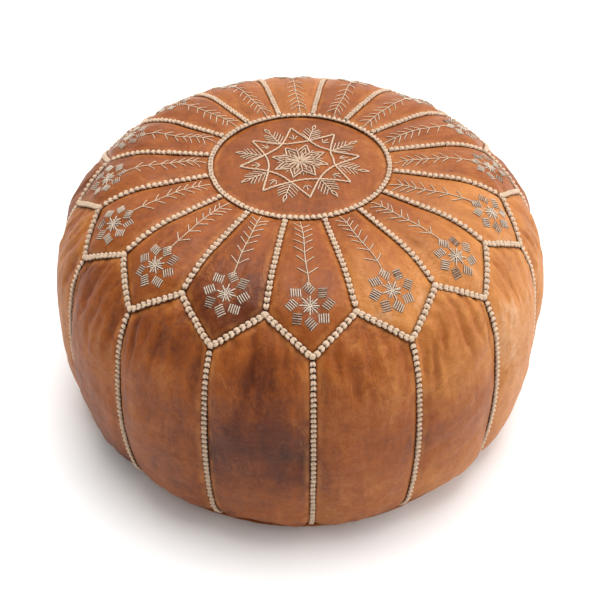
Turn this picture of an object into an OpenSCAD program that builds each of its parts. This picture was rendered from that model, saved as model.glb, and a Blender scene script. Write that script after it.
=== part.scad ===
// Round leather pouf: a medallion, sixteen petals and sixteen side panels of leather are joined
// by plaited braids over a cotton bag of wadding, and a zip across the base closes the cover.
// The origin is at the centre of the base, on the surface that the pouf stands on, with +Z up.
// Angles round the pouf are turned about +Z. Piece 01 of a ring is the one at the front (-Y).

/* [Overall size] */
// Height of the leather at the middle of the top
crown_z = 298; // [290:1:304]
// Radius of the leather where the sides are widest
belly_r = 275; // [271:1:279]

/* [Section curves] */
// Radius of curvature of the almost flat top
crown_curve_r = 3000; // [2400:100:4000]
// Radius of curvature of the rounded shoulder
shoulder_curve_r = 112; // [106:1:116]
// Radius of curvature of the bulging flank
flank_curve_r = 430; // [400:10:460]
// Radius of curvature of the turned-in foot
foot_curve_r = 78; // [72:1:84]
// Slope at which the shoulder runs into the flank, in degrees from level
shoulder_end_slope = 76; // [74:1:78]
// Slope at which the flank runs into the foot, in degrees from level
flank_end_slope = 98; // [96:1:100]

/* [Leather panels] */
// Thickness of the leather
leather_t = 2; // [1.4:0.1:2]
// Gap between neighbouring panels at a seam
seam_gap = 0.4; // [0.3:0.1:1]
// Radius of the seam round the medallion
medallion_r = 95.8; // [90:0.1:104]
// Slope of the leather where two petals and a side panel meet
petal_corner_slope = 33; // [31:0.5:36]
// Slope of the leather at the point of a petal
petal_tip_slope = 52; // [49:0.5:55]

/* [Braids] */
// Width of the braid on the petal seams and the zigzag
braid_w = 8; // [6:0.2:9]
// Height of the braid above the leather
braid_h = 4.6; // [3.5:0.1:5]
// Width of the upright braids on the sides
side_braid_w = 6.8; // [5.6:0.2:8]
// Width of the braid round the medallion
ring_braid_w = 6.8; // [5.6:0.2:8]

/* [Embroidery] */
// Thickness of the embroidery thread
thread_t = 0.6; // [0.4:0.1:0.9]
// Radius of the points of the star on the medallion
star_r = 64; // [58:1:68]
// Turn of the star against the petals, in degrees
star_twist = 6.4; // [0:0.1:12]
// Radius of a flower at the end of a petal
flower_r = 22; // [20:0.5:24]
// Slope of the leather at the middle of a flower
flower_slope = 27.6; // [26.5:0.1:29]

/* [Base] */
// Outer radius of the welt that the pouf stands on
welt_r = 258.5; // [256:0.5:262]
// Thickness of the welt
welt_t = 4; // [3:0.1:4]
// Thickness of the leather of the base
base_t = 2.2; // [1.8:0.1:2.4]

/* [Zip] */
// Length of the slot in the base
slot_len = 380; // [340:10:400]
// Width of the slot in the base
slot_w = 14; // [13:0.5:18]
// Width of one zip tape
tape_w = 22; // [16:1:26]
// Distance from one tooth to the next on the same tape
tooth_pitch = 4; // [4:0.5:6]
// Length of the tab that pulls the slider
pull_len = 25; // [18:1:30]

/* [Inside] */
// Thickness of the cotton bag that holds the wadding
liner_t = 1; // [0.6:0.1:1.4]

/* [Hidden] */
$fn = 96;
SECTORS = 16;
sector_angle = 360 / SECTORS;
front_angle = -90;

// Section curves: each arc meets the next one with the same slope. A point is [radius, height].
shoulder_shift = (shoulder_curve_r - flank_curve_r) * sin(shoulder_end_slope);
crown_end_slope = asin((belly_r - flank_curve_r - shoulder_shift) / (crown_curve_r - shoulder_curve_r));
function slope_dir(slope) = [sin(slope), cos(slope)];
crown_c = [0, crown_z - crown_curve_r];
shoulder_c = crown_c + (crown_curve_r - shoulder_curve_r) * slope_dir(crown_end_slope);
flank_c = shoulder_c + (shoulder_curve_r - flank_curve_r) * slope_dir(shoulder_end_slope);
foot_c = flank_c + (flank_curve_r - foot_curve_r) * slope_dir(flank_end_slope);

// Section point at a slope, moved outwards along the normal by "out"
function section_point(slope, out = 0) =
    slope <= crown_end_slope ? crown_c + (crown_curve_r + out) * slope_dir(slope)
    : slope <= shoulder_end_slope ? shoulder_c + (shoulder_curve_r + out) * slope_dir(slope)
    : slope <= flank_end_slope ? flank_c + (flank_curve_r + out) * slope_dir(slope)
    : foot_c + (foot_curve_r + out) * slope_dir(slope);
// Slope of the foot at a height, for the section moved outwards by "out"
function foot_slope(height, out = 0) = acos((height - foot_c[1]) / (foot_curve_r + out));
// Slope of the top at a radius
function top_slope(r) =
    r <= crown_curve_r * sin(crown_end_slope)
    ? asin(r / crown_curve_r)
    : asin((r - shoulder_c[0]) / shoulder_curve_r);

// Slopes from one to another in small steps, with every change of arc among them
slope_step = 5;
function steps(from, to) =
    let (n = max(2, ceil((to - from) / slope_step))) [for (k = [0:n - 1]) from + (to - from) * k / n];
arc_ends = [crown_end_slope, shoulder_end_slope, flank_end_slope];
function slopes(from, to) =
    let (inner = [for (b = arc_ends) if (b > from && b < to) b],
         ends = concat([from], inner, [to]))
    concat([for (k = [0:len(ends) - 2]) each steps(ends[k], ends[k + 1])], [to]);
function reversed(list) = [for (k = [len(list) - 1:-1:0]) list[k]];

// Section of a layer between two offsets of the leather's outer face
module layer_section(from, to, inner, outer) {
    list = slopes(from, to);
    polygon(concat([for (s = list) section_point(s, outer)],
                   [for (s = reversed(list)) section_point(s, inner)]));
}

// One sector of a layer, centred on the XZ plane, with half a seam gap taken off each side
module layer_sector(from, to, gap_r) {
    gap_angle = seam_gap / gap_r * 180 / PI;
    turn = sector_angle - gap_angle;
    rotate([0, 0, -turn / 2])
        rotate_extrude(angle = turn)
            layer_section(from, to, -leather_t, 0);
}

module ring_place(index, half_step = 0) {
    rotate([0, 0, front_angle + (index - 1 + half_step) * sector_angle]) children();
}

function two_digits(n) = n < 10 ? str("0", n) : str(n);

// The point of a petal is a V in the plane square to the leather at petal_mid_slope.
petal_mid_slope = (petal_corner_slope + petal_tip_slope) / 2;
half_sector = sector_angle / 2;
function along_petal(x, z) = x * cos(petal_mid_slope) - z * sin(petal_mid_slope);
corner = section_point(petal_corner_slope);
tip = section_point(petal_tip_slope);
corner_side = corner[0] * sin(half_sector);
corner_along = along_petal(corner[0] * cos(half_sector), corner[1]);
tip_along = along_petal(tip[0], tip[1]);
v_slope = (tip_along - corner_along) / corner_side;
v_reach = 150;
v_low = 150;
v_high = 420;

module petal_prism(grow) {
    rotate([0, petal_mid_slope, 0])
        translate([grow, 0, v_low])
            linear_extrude(v_high - v_low)
                polygon([[-3 * v_reach, -v_reach], [tip_along - v_reach * v_slope, -v_reach],
                         [tip_along, 0],
                         [tip_along - v_reach * v_slope, v_reach], [-3 * v_reach, v_reach]]);
}

// Slope of the leather where the V crosses the angle "turn" from the petal's middle, by halving
function v_error(slope, turn) =
    let (p = section_point(slope))
    along_petal(p[0] * cos(turn), p[1]) - (tip_along - p[0] * sin(abs(turn)) * v_slope);
function v_slope_at(turn, low = 20, high = 70, left = 18) =
    let (mid = (low + high) / 2)
    left == 0 ? mid
    : v_error(mid, turn) > 0 ? v_slope_at(turn, low, mid, left - 1)
    : v_slope_at(turn, mid, high, left - 1);

side_top_slope = petal_corner_slope - 6;
side_panel_z = welt_t + 0.2;
v_gap = seam_gap * sqrt(1 + v_slope * v_slope);

module top_medallion() {
    color("#b5622f")
        rotate_extrude($fn = 180)
            layer_section(0, top_slope(medallion_r - seam_gap / 2), -leather_t, 0);
}

module petal_panel(index) {
    color("#b8652f")
        ring_place(index)
            intersection() {
                layer_sector(top_slope(medallion_r + seam_gap / 2), petal_tip_slope + 5, medallion_r);
                petal_prism(0);
            }
}

module side_panel(index) {
    color("#9c4f26")
        ring_place(index, 0.5)
            difference() {
                layer_sector(side_top_slope, foot_slope(side_panel_z), belly_r);
                rotate([0, 0, -half_sector]) petal_prism(v_gap);
                rotate([0, 0, half_sector]) petal_prism(v_gap);
            }
}

// Braids: a domed strip swept over the leather. A frame is [point, across, up], and "widen"
// stretches the strip where it turns a corner.
braid_lift = 0.3;
// Cross-section of a braid, as parts of its width and height
BRAID_DOME = [[-0.5, 0], [-0.44, 0.6], [-0.24, 0.95], [0.24, 0.95], [0.44, 0.6], [0.5, 0]];
ring_n = len(BRAID_DOME);
function strip_ring(frame, w, widen = 1) =
    [for (p = BRAID_DOME)
        frame[0] + frame[1] * p[0] * w * widen + frame[2] * (braid_lift + p[1] * (braid_h - braid_lift))];

module strip(rings, closed = false) {
    n = len(rings);
    walls = [for (k = [0:n - (closed ? 1 : 2)]) for (j = [0:ring_n - 1])
        [k * ring_n + j, ((k + 1) % n) * ring_n + j,
         ((k + 1) % n) * ring_n + (j + 1) % ring_n, k * ring_n + (j + 1) % ring_n]];
    ends = closed ? [] : [[for (j = [0:ring_n - 1]) j], [for (j = [ring_n - 1:-1:0]) (n - 1) * ring_n + j]];
    polyhedron([for (r = rings) each r], concat(walls, ends), convexity = 6);
}

function unit(v) = v / norm(v);
function on_leather(slope, turn) =
    let (p = section_point(slope)) [p[0] * cos(turn), p[0] * sin(turn), p[1]];
function leather_normal(slope, turn) = [sin(slope) * cos(turn), sin(slope) * sin(turn), cos(slope)];

// A strip down a meridian in the XZ plane
module meridian_strip(from, to, w) {
    strip([for (s = slopes(from, to))
        strip_ring([on_leather(s, 0), [0, 1, 0], leather_normal(s, 0)], w)]);
}

braid_clear = braid_w / 2 + 1;

module medallion_braid() {
    p = section_point(top_slope(medallion_r));
    color("#e3cfb0")
        rotate_extrude($fn = 180)
            polygon([for (q = BRAID_DOME)
                p + [q[0] * ring_braid_w, braid_lift + q[1] * (braid_h - braid_lift)]]);
}

module radial_braids() {
    color("#e3cfb0")
        for (i = [1:SECTORS])
            ring_place(i, 0.5)
                meridian_strip(top_slope(medallion_r + ring_braid_w / 2 + 0.6),
                               petal_corner_slope - braid_clear / shoulder_curve_r * 180 / PI, braid_w);
}

// The zigzag follows the V of every petal. Its rings are listed once round the pouf.
zigzag_steps = 6;
function zigzag_point(k) =
    let (whole = k / (2 * zigzag_steps) * sector_angle - half_sector,
         petal = round(whole / sector_angle) * sector_angle,
         s = v_slope_at(whole - petal))
    [on_leather(s, whole + front_angle), leather_normal(s, whole + front_angle)];
function zigzag_frame(k) =
    let (a = zigzag_point(k - 1), b = zigzag_point(k), c = zigzag_point(k + 1),
         run_in = unit(b[0] - a[0]), run_out = unit(c[0] - b[0]),
         along = unit(run_in + run_out))
    [b[0], unit(cross(b[1], along)), b[1], 1 / max(0.6, run_in * along)];

module zigzag_braid() {
    color("#e3cfb0")
        strip([for (k = [0:2 * zigzag_steps * SECTORS - 1])
            let (f = zigzag_frame(k)) strip_ring(f, braid_w, f[3])], closed = true);
}

module side_braids() {
    color("#dcc6a4")
        for (i = [1:SECTORS])
            ring_place(i)
                meridian_strip(petal_tip_slope + braid_clear / shoulder_curve_r * 180 / PI,
                               foot_slope(side_panel_z + 2, braid_h), side_braid_w);
}

// Embroidery: flat stitches lie just above the leather, square to it
stitch_lift = 0.35;
stitch_w = 1.6;

module on_petal(slope, side = 0) {
    p = section_point(slope, stitch_lift);
    translate([p[0], side, p[1]]) rotate([0, slope, 0]) children();
}

// A straight stitch between two points of a plane
module stitch(a, b, w = stitch_w) {
    n = unit([a[1] - b[1], b[0] - a[0]]) * w / 2;
    polygon([a + n, b + n, b - n, a - n]);
}

// Star: two crossed squares, each with sides that dip in between its points. A waist entry is
// [turn from a point, part of star_r].
star_waist = [[0, 1], [20, 0.63], [45, 0.54], [70, 0.63]];
rosette_r = 31;
rosette_waist_r = 18;
fern_from_r = 43;
fern_to_r = 75;
fern_mid_r = (fern_from_r + fern_to_r) / 2;
function polar(r, turn) = [r * cos(turn), r * sin(turn)];

// The line round a star-shaped outline, which grows inwards from its points
module outline(points, w) {
    difference() {
        polygon(points);
        polygon([for (p = points) p * (1 - 1.6 * w / norm(p))]);
    }
}

module fern() {
    stitch([fern_from_r - fern_mid_r, 0], [fern_to_r - fern_mid_r, 0]);
    for (x = [50, 56, 62], side = [-1, 1])
        stitch([x - fern_mid_r, 0.2 * side], [x + 4.5 - fern_mid_r, 5 * side]);
}

// A flat stitched shape over the middle of the top, clear of the leather from a radius outwards
module on_crown(r) {
    translate([0, 0, section_point(top_slope(r))[1] + stitch_lift]) linear_extrude(thread_t) children();
}

module medallion_embroidery() {
    color("#e8cfae")
        rotate([0, 0, front_angle + star_twist]) {
            on_crown(0.5 * star_r)
                for (square = [0, 45])
                    rotate(square)
                        outline([for (q = [0:3]) for (w = star_waist) polar(star_r * w[1], q * 90 + w[0])],
                                stitch_w);
            on_crown(rosette_waist_r * 0.7)
                outline([for (q = [0:7])
                            each [polar(rosette_waist_r, q * 45), polar(rosette_r, q * 45 + 22.5)]],
                        stitch_w);
            for (q = [0:7])
                rotate([0, 0, q * 45 + 22.5])
                    on_petal(top_slope(fern_mid_r)) linear_extrude(thread_t) fern();
        }
}

barb_rows = 6;
stem_from_r = medallion_r + 8;
stem_to_r = 174;
barb_len = 8;

module petal_stem_embroidery() {
    step = (stem_to_r - stem_from_r) / barb_rows;
    color("#e8cfae")
        for (i = [1:SECTORS], row = [0:barb_rows - 1])
            ring_place(i)
                on_petal(top_slope(stem_from_r + step * (row + 0.5)))
                    linear_extrude(thread_t) {
                        stitch([-step / 2 + 0.5, 0], [step / 2 - 0.5, 0]);
                        for (side = [-1, 1])
                            stitch([step / 2 - 1.5, 0.2 * side],
                                   [step / 2 - 1.5 - barb_len * 0.75, side * barb_len * 0.8]);
                    }
}

block_r = flower_r * 0.74;
block_len = 9.5;
block_w = 9;
ray_r = flower_r * 0.46;

module petal_flower_embroidery() {
    color("#d9c6a8")
        for (i = [1:SECTORS])
            ring_place(i) {
                for (q = [0:7]) {
                    c = polar(block_r, q * 45);
                    on_petal(flower_slope + c[0] / shoulder_curve_r * 180 / PI, c[1])
                        rotate([0, 0, q * 45])
                            linear_extrude(thread_t)
                                polygon([[-block_len * 0.5, 0], [0, -block_w * 0.5],
                                         [block_len * 0.5, 0], [0, block_w * 0.5]]);
                }
                on_petal(flower_slope)
                    linear_extrude(thread_t)
                        polygon([for (q = [0:15]) polar(q % 2 == 0 ? ray_r : ray_r * 0.45, q * 22.5)]);
            }
}

// Base: two half discs with a folded hem along the slot, inside a welt
base_gap = 0.3;
hem_w = 11;
hem_t = base_t + 2.2;
welt_inner_r = 240;

module base_half() {
    color("#6e3a20")
        difference() {
            union() {
                difference() {
                    cylinder(h = base_t, r = welt_inner_r - base_gap, $fn = 180);
                    translate([-300, -base_gap, -1]) cube([600, 300, 10]);
                }
                translate([-slot_len / 2, -slot_w / 2 - hem_w, base_t / 2])
                    cube([slot_len, hem_w, hem_t - base_t / 2]);
            }
            translate([-slot_len / 2, -slot_w / 2, -1]) cube([slot_len, slot_w, 10]);
        }
}

module base_panel_front() { base_half(); }

module base_panel_back() { rotate([0, 0, 180]) base_half(); }

module base_welt() {
    color("#7a4324")
        rotate_extrude($fn = 180) {
            translate([welt_inner_r, 0]) square([welt_r - welt_t / 2 - welt_inner_r, welt_t]);
            intersection() {
                translate([welt_r - welt_t / 2, welt_t / 2]) circle(r = welt_t / 2, $fn = 48);
                translate([welt_r - welt_t / 2, 0]) square([welt_t, welt_t]);
            }
        }
}

// Zip: the teeth of the two tapes mesh on the X axis, and the slider is parked at its +X end.
tape_z = hem_t + 0.2;
tape_t = 0.8;
tape_edge = 2.5;
tape_len = slot_len + 10;
tooth_h = 2;
tooth_z = tape_z + tape_t / 2 - tooth_h / 2;
tooth_w = tooth_pitch * 0.36;
tooth_reach = 1.5;
tooth_back = 3.6;
chain_from = -slot_len / 2 + pull_len + 3;
slider_len = 16;
slider_w = 11;
slider_x = slot_len / 2 - 18;
chain_to = slider_x;
tooth_count = floor((chain_to - chain_from) / tooth_pitch);
plate_t = 1.2;
play = 0.35;
lower_plate_z = tooth_z - play - plate_t;
upper_plate_z = tooth_z + tooth_h + play;
channel_half = tooth_back + play - 0.2;
stop_len = 3;

module zip_tape() {
    color("#4a3426")
        translate([-tape_len / 2, -tape_edge - tape_w, tape_z]) cube([tape_len, tape_w, tape_t]);
}

module zip_tape_front() { zip_tape(); }

module zip_tape_back() { mirror([0, 1, 0]) zip_tape(); }

// A row of teeth, each forked over the edge of its tape
module zip_teeth(first) {
    color("#b08d57")
        difference() {
            for (k = [0:tooth_count - 1])
                translate([first + k * tooth_pitch, -tooth_back, tooth_z])
                    cube([tooth_w, tooth_back + tooth_reach, tooth_h]);
            translate([-300, -tooth_back - 1, tape_z - 0.05])
                cube([600, tooth_back + 1 - tape_edge + 0.1, tape_t + 0.1]);
        }
}

module zip_teeth_front() { zip_teeth(chain_from); }

module zip_teeth_back() { mirror([0, 1, 0]) zip_teeth(chain_from + tooth_pitch / 2); }

// A stop clamped over the edge of the tape on the -Y side
module zip_stop(x, reach) {
    difference() {
        translate([x, -tooth_back, tooth_z]) cube([stop_len, tooth_back + reach, tooth_h]);
        translate([x - 1, -tooth_back - 1, tape_z - 0.05])
            cube([stop_len + 2, tooth_back + 1 - tape_edge + 0.1, tape_t + 0.1]);
    }
}

module zip_top_stops() {
    color("#b08d57") {
        zip_stop(slider_x + slider_len / 2 + 0.5, -1.2);
        mirror([0, 1, 0]) zip_stop(slider_x + slider_len / 2 + 0.5, -1.2);
    }
}

module zip_bottom_stop() {
    color("#b08d57") {
        difference() {
            translate([chain_from - 6, -tooth_back, tooth_z]) cube([stop_len, 2 * tooth_back, tooth_h]);
            for (side = [-1, 1])
                translate([chain_from - 7, side < 0 ? -tooth_back - 1 : tape_edge - 0.1, tape_z - 0.05])
                    cube([stop_len + 2, tooth_back + 1 - tape_edge + 0.1, tape_t + 0.1]);
        }
    }
}

// Slider: two plates with turned-in flanges, joined by the wedge that parts the teeth, and two
// lugs underneath that hold the pin of the pull
pivot_r = 0.65;
pivot_play = 0.1;
lug_inner = 2.6;
lug_t = 1.1;
pivot_z = lower_plate_z - 0.85;

module slider_plate() {
    polygon([[-slider_len / 2, -slider_w / 2 + 1], [-slider_len / 2 + 2, -slider_w / 2],
             [slider_len / 2, -slider_w / 2], [slider_len / 2, slider_w / 2],
             [-slider_len / 2 + 2, slider_w / 2], [-slider_len / 2, slider_w / 2 - 1]]);
}

module zip_slider() {
    lower_flange_h = tape_z - play - (lower_plate_z + plate_t);
    upper_flange_z = tape_z + tape_t + play;
    color("#a8834a")
        translate([slider_x, 0, 0])
            difference() {
                union() {
                    translate([0, 0, lower_plate_z]) linear_extrude(plate_t) slider_plate();
                    translate([0, 0, upper_plate_z]) linear_extrude(plate_t) slider_plate();
                    for (side = [-1, 1]) {
                        y = side < 0 ? -slider_w / 2 : channel_half;
                        translate([-slider_len / 2 + 2, y, lower_plate_z + plate_t / 2])
                            cube([slider_len - 2, slider_w / 2 - channel_half,
                                  plate_t / 2 + lower_flange_h]);
                        translate([-slider_len / 2 + 2, y, upper_flange_z])
                            cube([slider_len - 2, slider_w / 2 - channel_half,
                                  upper_plate_z + plate_t / 2 - upper_flange_z]);
                        translate([-1.6, side < 0 ? -lug_inner - lug_t : lug_inner, pivot_z - 1.05])
                            cube([3.2, lug_t, lower_plate_z + plate_t / 2 - pivot_z + 1.05]);
                    }
                    translate([0, 0, lower_plate_z + plate_t / 2])
                        linear_extrude(upper_plate_z - lower_plate_z)
                            polygon([[1, 0], [4.5, -1.7], [7.5, -1.2], [7.5, 1.2], [4.5, 1.7]]);
                }
                translate([0, 0, pivot_z])
                    rotate([90, 0, 0])
                        cylinder(h = slider_w, r = pivot_r + pivot_play, center = true, $fn = 32);
            }
}

module zip_pull() {
    neck_half = lug_inner - 0.2;
    tab_half = 3.6;
    tab_t = 1.1;
    color("#b08d57")
        translate([slider_x, 0, pivot_z]) {
            rotate([90, 0, 0])
                cylinder(h = 2 * (lug_inner + lug_t), r = pivot_r, center = true, $fn = 32);
            translate([0, 0, -tab_t / 2])
                linear_extrude(tab_t)
                    difference() {
                        union() {
                            translate([-3.5, -neck_half]) square([3.5, 2 * neck_half]);
                            translate([-pull_len + tab_half, -tab_half])
                                square([pull_len - tab_half - 3, 2 * tab_half]);
                            translate([-pull_len + tab_half, 0]) circle(r = tab_half, $fn = 48);
                        }
                        translate([-pull_len + tab_half, 0]) circle(r = 1.6, $fn = 32);
                    }
        }
}

// Inside: the cotton bag and its wadding, flat underneath and clear of the slider
bag_out = -leather_t - 0.2;
bag_bottom_z = upper_plate_z + plate_t + 0.5;

module closed_section(out, bottom_z) {
    last = foot_slope(bottom_z, out);
    polygon(concat([[0, bottom_z]], [for (s = slopes(0, last)) section_point(s, out)]));
}

module inner_liner() {
    color("#e9e2d2")
        rotate_extrude($fn = 180)
            difference() {
                closed_section(bag_out, bag_bottom_z);
                closed_section(bag_out - liner_t, bag_bottom_z + liner_t);
            }
}

module stuffing() {
    color("#f1eee6")
        rotate_extrude($fn = 180)
            closed_section(bag_out - liner_t - 0.2, bag_bottom_z + liner_t + 0.2);
}

top_medallion();
for (i = [1:SECTORS]) {
    petal_panel(i);
    side_panel(i);
}
medallion_braid();
radial_braids();
zigzag_braid();
side_braids();
medallion_embroidery();
petal_stem_embroidery();
petal_flower_embroidery();
base_panel_front();
base_panel_back();
base_welt();
zip_tape_front();
zip_tape_back();
zip_teeth_front();
zip_teeth_back();
zip_top_stops();
zip_bottom_stop();
zip_slider();
zip_pull();
inner_liner();
stuffing();
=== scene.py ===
"""Visual model of a round stuffed leather pouf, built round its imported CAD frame.

Lengths inside the script are millimetres until a mesh is made. A place on the leather is a pair
(run, turn): run is the distance from the middle of the top down the section curve, and turn is the
angle round the pouf in radians, from the front (-Y) towards +X.
"""

import math

import bpy
import numpy as np
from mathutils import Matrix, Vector
from mathutils.bvhtree import BVHTree


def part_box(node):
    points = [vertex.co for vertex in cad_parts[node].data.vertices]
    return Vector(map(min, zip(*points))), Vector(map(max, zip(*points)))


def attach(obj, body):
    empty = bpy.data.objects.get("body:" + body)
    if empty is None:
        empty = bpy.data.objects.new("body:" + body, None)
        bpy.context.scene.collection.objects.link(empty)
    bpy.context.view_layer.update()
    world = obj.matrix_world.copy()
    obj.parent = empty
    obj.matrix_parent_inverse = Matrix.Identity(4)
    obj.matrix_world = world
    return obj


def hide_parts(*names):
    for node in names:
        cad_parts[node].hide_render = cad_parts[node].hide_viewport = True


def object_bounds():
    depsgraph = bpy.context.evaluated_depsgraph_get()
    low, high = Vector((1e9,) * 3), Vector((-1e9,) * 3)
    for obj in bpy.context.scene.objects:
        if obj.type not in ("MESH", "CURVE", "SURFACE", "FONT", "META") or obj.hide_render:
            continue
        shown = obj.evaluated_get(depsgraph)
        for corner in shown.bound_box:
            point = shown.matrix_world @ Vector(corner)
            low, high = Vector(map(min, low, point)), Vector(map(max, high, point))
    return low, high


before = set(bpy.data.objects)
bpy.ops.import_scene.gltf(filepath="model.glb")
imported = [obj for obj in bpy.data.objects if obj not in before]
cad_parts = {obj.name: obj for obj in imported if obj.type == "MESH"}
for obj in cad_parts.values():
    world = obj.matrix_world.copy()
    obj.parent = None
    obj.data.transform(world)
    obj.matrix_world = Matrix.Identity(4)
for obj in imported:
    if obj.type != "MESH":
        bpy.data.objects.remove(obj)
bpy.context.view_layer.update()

MM = 0.001
rng = np.random.default_rng(11)


def node_box(name):
    low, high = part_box(name)
    return np.array(low) / MM, np.array(high) / MM


# ---- the section of the pouf
SECTORS = 16
SECTOR = 2 * math.pi / SECTORS
HALF = SECTOR / 2
LEATHER_T = 2.0
RING_BRAID_HALF = 3.4
CROWN_Z = node_box("top_medallion")[1][2]
MEDALLION_R = node_box("medallion_braid")[1][0] - RING_BRAID_HALF
BELLY_R = 275.0
ARC_RADII = np.array([3000.0, 112.0, 430.0, 78.0])
SHOULDER_END, FLANK_END = math.radians(76), math.radians(98)
SIDE_FOOT_Z = node_box("side_panel_01")[0][2]
CORNER_SLOPE, TIP_SLOPE = math.radians(33), math.radians(52)

CROWN_END = math.asin((BELLY_R - ARC_RADII[2] - (ARC_RADII[1] - ARC_RADII[2]) * math.sin(SHOULDER_END))
                      / (ARC_RADII[0] - ARC_RADII[1]))
ARC_STARTS = np.array([0.0, CROWN_END, SHOULDER_END, FLANK_END])
ARC_CENTRES = [np.array([0.0, CROWN_Z - ARC_RADII[0]])]
for before, after, bend in zip(ARC_RADII, ARC_RADII[1:], ARC_STARTS[1:]):
    ARC_CENTRES.append(ARC_CENTRES[-1] + (before - after) * np.array([math.sin(bend), math.cos(bend)]))
ARC_CENTRES = np.array(ARC_CENTRES)
RUN_STARTS = np.concatenate([[0.0], np.cumsum(np.diff(ARC_STARTS) * ARC_RADII[:-1])])


def run_at(slope):
    which = np.searchsorted(ARC_STARTS, slope, side="right") - 1
    return RUN_STARTS[which] + ARC_RADII[which] * (slope - ARC_STARTS[which])


def slope_at(run):
    which = np.clip(np.searchsorted(RUN_STARTS, run, side="right") - 1, 0, 3)
    return ARC_STARTS[which] + (run - RUN_STARTS[which]) / ARC_RADII[which]


def section(run, out=0.0):
    """(radius, height) on the section curve, moved outwards along its normal."""
    slope = slope_at(run)
    which = np.clip(np.searchsorted(RUN_STARTS, run, side="right") - 1, 0, 3)
    reach = ARC_RADII[which] + out
    return ARC_CENTRES[which, 0] + reach * np.sin(slope), ARC_CENTRES[which, 1] + reach * np.cos(slope)


def turned(radius, turn, height):
    """Points at a radius and a height, turned round the pouf's axis from its front."""
    radius, turn, height = np.broadcast_arrays(radius, turn, height)
    return np.stack([radius * np.sin(turn), -radius * np.cos(turn), height], -1)


def place(run, turn, out=0.0):
    """Points of the leather's surface, moved outwards along its normal."""
    radius, height = section(np.asarray(run, float), out)
    return turned(radius, turn, height)


def normal(run, turn):
    slope = slope_at(np.asarray(run, float))
    return turned(np.sin(slope), turn, np.cos(slope))


def lengths(points):
    """The length along a line of points up to each of them."""
    return np.concatenate([[0], np.cumsum(np.linalg.norm(np.diff(points, axis=0), axis=1))])


RING_RUN = run_at(math.asin(MEDALLION_R / ARC_RADII[0]))
CORNER_RUN, TIP_RUN = run_at(CORNER_SLOPE), run_at(TIP_SLOPE)
FOOT_RUN = run_at(math.acos((SIDE_FOOT_Z - ARC_CENTRES[3, 1]) / ARC_RADII[3]))

# The point of a petal is a V in the plane square to the leather at its middle slope.
V_MID = (CORNER_SLOPE + TIP_SLOPE) / 2


def along_petal(run, turn):
    radius, height = section(run)
    return radius * np.cos(turn) * math.cos(V_MID) - height * math.sin(V_MID)


CORNER_SIDE = float(section(CORNER_RUN)[0]) * math.sin(HALF)
V_STEEP = (along_petal(TIP_RUN, 0.0) - along_petal(CORNER_RUN, HALF)) / CORNER_SIDE
V_SEARCH, HALVINGS = 30.0, 40


def v_run(turn):
    """Run at which the zigzag crosses each turn, by halving."""
    off = np.abs((np.asarray(turn, float) + HALF) % SECTOR - HALF)
    low, high = np.full(off.shape, CORNER_RUN - V_SEARCH), np.full(off.shape, TIP_RUN + V_SEARCH)
    for _ in range(HALVINGS):
        mid = (low + high) / 2
        side = section(mid)[0] * np.sin(off)
        beyond = along_petal(mid, off) > along_petal(TIP_RUN, 0.0) - side * V_STEEP
        high, low = np.where(beyond, mid, high), np.where(beyond, low, mid)
    return (low + high) / 2


# ---- meshes from arrays
def make_piece(name, points, faces, material, floats=None, uv=None):
    """A mesh object from points in millimetres. floats are per-point values, uv is per-point."""
    mesh = bpy.data.meshes.new(name)
    mesh.from_pydata((np.asarray(points) * MM).tolist(), [], [list(map(int, f)) for f in faces])
    mesh.validate()
    for key, values in (floats or {}).items():
        mesh.attributes.new(key, "FLOAT", "POINT").data.foreach_set("value", np.asarray(values, np.float32))
    if uv is not None:
        corner = np.empty(len(mesh.loops), np.int32)
        mesh.loops.foreach_get("vertex_index", corner)
        mesh.uv_layers.new(name="cut").data.foreach_set("uv", np.asarray(uv, np.float32)[corner].ravel())
    mesh.polygons.foreach_set("use_smooth", np.full(len(mesh.polygons), True))
    mesh.materials.append(material)
    piece = bpy.data.objects.new(name, mesh)
    bpy.context.scene.collection.objects.link(piece)
    return piece


def grid_faces(rows, columns, start=0, flip=False):
    index = start + np.arange(rows * columns).reshape(rows, columns)
    quads = np.stack([index[:-1, :-1], index[1:, :-1], index[1:, 1:], index[:-1, 1:]], -1).reshape(-1, 4)
    return quads[:, ::-1] if flip else quads


def shell_faces(rows, columns):
    """Faces of an outer grid, an inner grid and the rim between them."""
    count = rows * columns
    index = np.arange(count).reshape(rows, columns)
    rim = np.concatenate([index[0, :-1], index[:-1, -1], index[-1, :0:-1], index[:0:-1, 0]])
    after = np.roll(rim, -1)
    wall = np.stack([rim, after, after + count, rim + count], -1)
    return np.concatenate([grid_faces(rows, columns), grid_faces(rows, columns, count, flip=True), wall])


def tube_faces(rings, sides):
    """Faces of a tube of rings of points, with its two end caps last."""
    index = np.arange(rings * sides).reshape(rings, sides)
    after = np.roll(index, -1, 1)
    walls = np.stack([index[:-1], after[:-1], after[1:], index[1:]], -1).reshape(-1, 4)
    return [tuple(f) for f in walls] + [tuple(index[0][::-1]), tuple(index[-1])]


# ---- smooth noise for shapes
def waves(x, y, length, seed, count=7):
    """Smooth seeded noise of about unit size from a few plane waves, on coordinates in millimetres."""
    draw = np.random.default_rng(seed)
    angle = draw.uniform(0, 2 * np.pi, count)
    size = length * draw.uniform(0.7, 1.5, count)
    phase = draw.uniform(0, 2 * np.pi, count)
    total = sum(np.sin((x * math.cos(a) + y * math.sin(a)) * 2 * np.pi / s + p)
                for a, s, p in zip(angle, size, phase))
    return total / math.sqrt(count / 2)


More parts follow.
